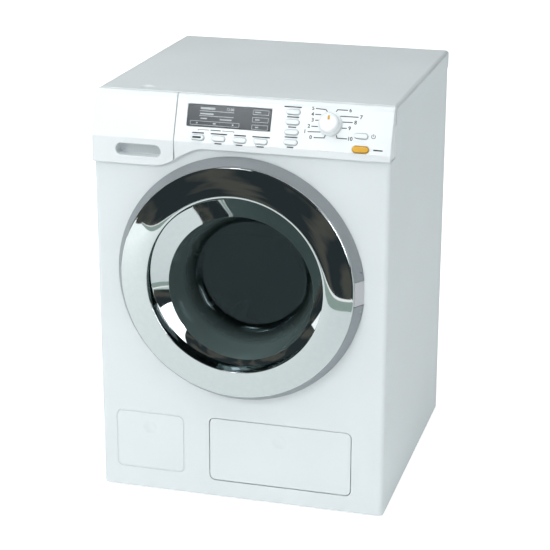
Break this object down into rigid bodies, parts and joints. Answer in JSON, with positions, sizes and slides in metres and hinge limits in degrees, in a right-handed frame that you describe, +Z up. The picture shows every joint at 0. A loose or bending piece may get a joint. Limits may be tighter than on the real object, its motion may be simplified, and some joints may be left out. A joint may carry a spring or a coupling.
{
  "type": "toy washing machine",
  "caption": "Battery-driven toy front loader: geared drum behind a round chrome door, soap drawer, program knob, sprung keys and a drop-down service flap.",
  "frame": {"origin": "on the floor, under the middle of the overall box", "axes": "+X to the machine's right seen from the front, +Y from the door to the back, +Z up"},
  "size_m": [0.185, 0.192, 0.26],
  "materials": {
    "cabinet_white": "moulded ABS, satin gloss",
    "panel_white": "moulded ABS, bright white, satin gloss",
    "inner_grey": "moulded polypropylene, as moulded",
    "foot_rubber": "soft pads",
    "cell_jacket": "plain metal jacket with bright ends",
    "contact_metal": "nickel-plated spring strip",
    "display_dark": "dark smoked window",
    "board_green": "solder mask over fibre board",
    "mat_rubber": "moulded silicone",
    "switch_dark": "moulded nylon",
    "tub_grey": "moulded polypropylene",
    "bush_bronze": "sintered bronze",
    "steel": "turned and drawn steel",
    "screw_steel": "zinc-plated",
    "knuckle_grey": "moulded ABS",
    "ring_silver": "silver-painted ABS",
    "plated_chrome": "vacuum-plated, mirror bright",
    "bowl_smoke": "clear polystyrene, smoked",
    "drum_silver": "silver-grey moulded",
    "gear_acetal": "acetal, as moulded",
    "pinion_brass": "hobbed",
    "key_white": "moulded ABS",
    "knob_white": "moulded ABS",
    "accent_yellow": "moulded ABS"
  },
  "bodies": {
    "cabinet": {"cabinet_shell": "cabinet_white", "top_cover": "cabinet_white", "base_plate": "inner_grey", "feet": "foot_rubber", "back_panel": "cabinet_white", "battery_cover": "cabinet_white", "battery_box": "inner_grey", "battery_cells": "cell_jacket", "battery_contacts": "contact_metal", "control_panel": "panel_white", "display_window": "display_dark", "circuit_board": "board_green", "key_mat": "mat_rubber", "knob_switch": "switch_dark", "drawer_runner": "inner_grey", "flap_compartment": "inner_grey", "door_seal": "tub_grey", "tub": "tub_grey", "drum_bush": "bush_bronze", "motor": "steel", "gearbox_plate": "inner_grey", "idler_pin": "steel", "hinge_knuckle": "knuckle_grey", "hinge_pin": "steel", "latch_catch": "inner_grey", "speaker": "switch_dark", "back_screws": "screw_steel", "inner_screws": "screw_steel"},
    "door": {"door_frame": "ring_silver", "chrome_ring": "plated_chrome", "chrome_dish": "plated_chrome", "door_bowl": "bowl_smoke", "bowl_retainer": "ring_silver", "door_hook": "ring_silver"},
    "drum": {"drum": "drum_silver", "drum_mouth": "drum_silver", "drum_paddles": "drum_silver", "drum_shaft": "steel", "drum_gear": "gear_acetal"},
    "idler": {"idler_gear": "gear_acetal"},
    "motor_rotor": {"motor_pinion": "pinion_brass", "motor_shaft": "steel"},
    "drawer": {"drawer_front": "panel_white", "drawer_tray": "key_white"},
    "flap": {"service_flap": "cabinet_white"},
    "knob": {"program_knob": "knob_white", "knob_pointer": "accent_yellow", "knob_spindle": "steel"},
    "option_key_1_body": {"option_key_1": "key_white"},
    "option_key_2_body": {"option_key_2": "key_white"},
    "option_key_3_body": {"option_key_3": "key_white"},
    "option_key_4_body": {"option_key_4": "key_white"},
    "select_key_1_body": {"select_key_1": "key_white"},
    "select_key_2_body": {"select_key_2": "key_white"},
    "select_key_3_body": {"select_key_3": "key_white"},
    "select_key_4_body": {"select_key_4": "key_white"},
    "power_key_body": {"power_key": "key_white"},
    "door_key_body": {"door_key": "accent_yellow"}
  },
  "joints": [
    {"name": "door_hinge", "type": "hinge", "parent": "cabinet", "child": "door", "pos_m": [0.0753, -0.0856, 0.148], "axis": [0, 0, 1], "range_deg": [0, 110]},
    {"name": "drum_spin", "type": "hinge", "parent": "cabinet", "child": "drum", "pos_m": [0, 0, 0.142], "axis": [0, 1, 0], "continuous": true},
    {"name": "idler_spin", "type": "hinge", "parent": "cabinet", "child": "idler", "pos_m": [0, 0.0345, 0.1], "axis": [0, 1, 0], "continuous": true},
    {"name": "motor_spin", "type": "hinge", "parent": "cabinet", "child": "motor_rotor", "pos_m": [0, 0.0345, 0.075], "axis": [0, 1, 0], "continuous": true},
    {"name": "drawer_slide", "type": "slide", "parent": "cabinet", "child": "drawer", "axis": [0, -1, 0], "range_m": [0, 0.062]},
    {"name": "flap_hinge", "type": "hinge", "parent": "cabinet", "child": "flap", "pos_m": [0.0255, -0.0823, 0.018], "axis": [1, 0, 0], "range_deg": [0, 90]},
    {"name": "knob_turn", "type": "hinge", "parent": "cabinet", "child": "knob", "pos_m": [0.0546, -0.08042, 0.24865], "axis": [0, -0.9304, 0.3665], "continuous": true},
    {"name": "option_key_1_press", "type": "slide", "parent": "cabinet", "child": "option_key_1_body", "axis": [0, 0.9304, -0.3665], "range_m": [0, 0.001], "stiffness_N_per_m": 150, "springref_m": -0.002},
    {"name": "option_key_2_press", "type": "slide", "parent": "cabinet", "child": "option_key_2_body", "axis": [0, 0.9304, -0.3665], "range_m": [0, 0.001], "stiffness_N_per_m": 150, "springref_m": -0.002},
    {"name": "option_key_3_press", "type": "slide", "parent": "cabinet", "child": "option_key_3_body", "axis": [0, 0.9304, -0.3665], "range_m": [0, 0.001], "stiffness_N_per_m": 150, "springref_m": -0.002},
    {"name": "option_key_4_press", "type": "slide", "parent": "cabinet", "child": "option_key_4_body", "axis": [0, 0.9304, -0.3665], "range_m": [0, 0.001], "stiffness_N_per_m": 150, "springref_m": -0.002},
    {"name": "select_key_1_press", "type": "slide", "parent": "cabinet", "child": "select_key_1_body", "axis": [0, 0.9304, -0.3665], "range_m": [0, 0.001], "stiffness_N_per_m": 150, "springref_m": -0.002},
    {"name": "select_key_2_press", "type": "slide", "parent": "cabinet", "child": "select_key_2_body", "axis": [0, 0.9304, -0.3665], "range_m": [0, 0.001], "stiffness_N_per_m": 150, "springref_m": -0.002},
    {"name": "select_key_3_press", "type": "slide", "parent": "cabinet", "child": "select_key_3_body", "axis": [0, 0.9304, -0.3665], "range_m": [0, 0.001], "stiffness_N_per_m": 150, "springref_m": -0.002},
    {"name": "select_key_4_press", "type": "slide", "parent": "cabinet", "child": "select_key_4_body", "axis": [0, 0.9304, -0.3665], "range_m": [0, 0.001], "stiffness_N_per_m": 150, "springref_m": -0.002},
    {"name": "power_key_press", "type": "slide", "parent": "cabinet", "child": "power_key_body", "axis": [0, 0.9304, -0.3665], "range_m": [0, 0.001], "stiffness_N_per_m": 150, "springref_m": -0.002},
    {"name": "door_key_press", "type": "slide", "parent": "cabinet", "child": "door_key_body", "axis": [0, 0.9304, -0.3665], "range_m": [0, 0.001], "stiffness_N_per_m": 150, "springref_m": -0.002}
  ],
  "couplings": [
    {"joint": "idler_spin", "follows": "drum_spin", "ratio": -6},
    {"joint": "motor_spin", "follows": "drum_spin", "ratio": 24}
  ]
}
